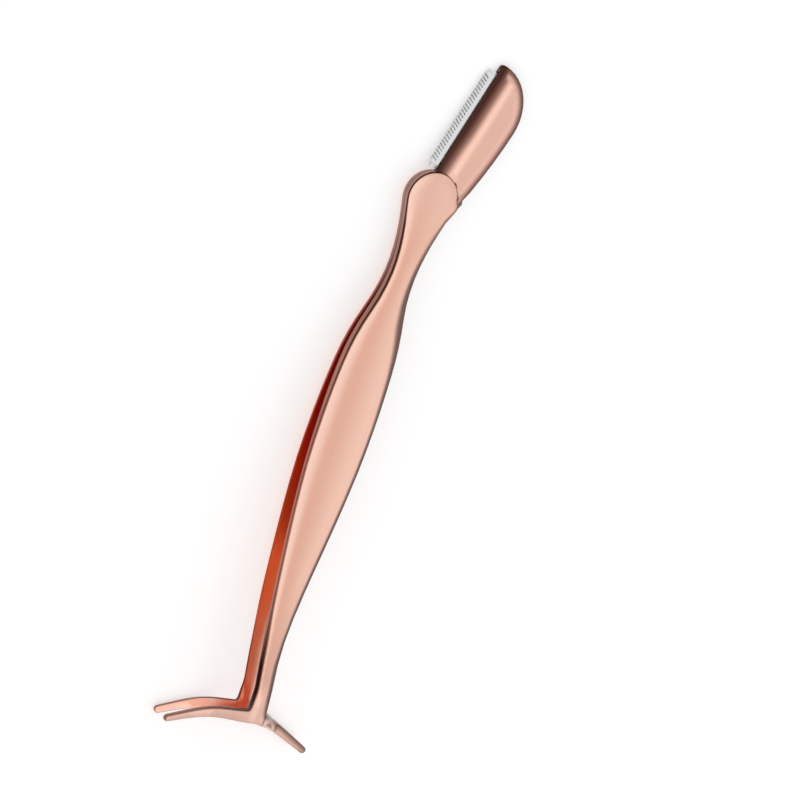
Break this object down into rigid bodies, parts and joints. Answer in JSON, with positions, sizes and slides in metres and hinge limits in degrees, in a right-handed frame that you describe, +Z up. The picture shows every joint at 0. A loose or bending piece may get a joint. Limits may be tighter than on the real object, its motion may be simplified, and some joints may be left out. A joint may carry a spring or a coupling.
{
  "type": "lash applicator tweezers",
  "caption": "Flat spring tweezers with crescent jaws for strip lashes and a guarded brow razor on the back end.",
  "frame": {"origin": "under the middle of the tool's box, on the surface it lies on, with the front arm up", "axes": "+Y along the tool from the jaws to the razor, +Z up through the flat of the tool, +X across it to the side the razor leans to"},
  "size_m": [0.0324, 0.1444, 0.0127],
  "materials": {
    "rose_gold_front_arm": "polished rose gold plating over steel",
    "rose_gold_rear_arm": "polished rose gold plating over steel",
    "rose_gold_cover": "polished rose gold plating over steel",
    "blade_steel": "ground and polished",
    "guard_steel": "bright, thin folded strip"
  },
  "bodies": {
    "head": {"blade_cover": "rose_gold_cover", "razor_blade": "blade_steel", "edge_guard": "guard_steel"},
    "front_arm": {"front_arm": "rose_gold_front_arm"},
    "rear_arm": {"rear_arm": "rose_gold_rear_arm"}
  },
  "joints": [
    {"name": "front_arm_flex", "type": "hinge", "parent": "head", "child": "front_arm", "pos_m": [-0.00142, 0.03747, 0.00386], "axis": [1, 0, 0], "range_deg": [0, 1.06], "stiffness_Nm_per_rad": 2.5},
    {"name": "rear_arm_flex", "type": "hinge", "parent": "head", "child": "rear_arm", "pos_m": [-0.00142, 0.03735, 0.00186], "axis": [-1, 0, 0], "range_deg": [0, 1.06], "stiffness_Nm_per_rad": 2.5}
  ],
  "couplings": [
    {"joint": "rear_arm_flex", "follows": "front_arm_flex", "ratio": 1}
  ]
}
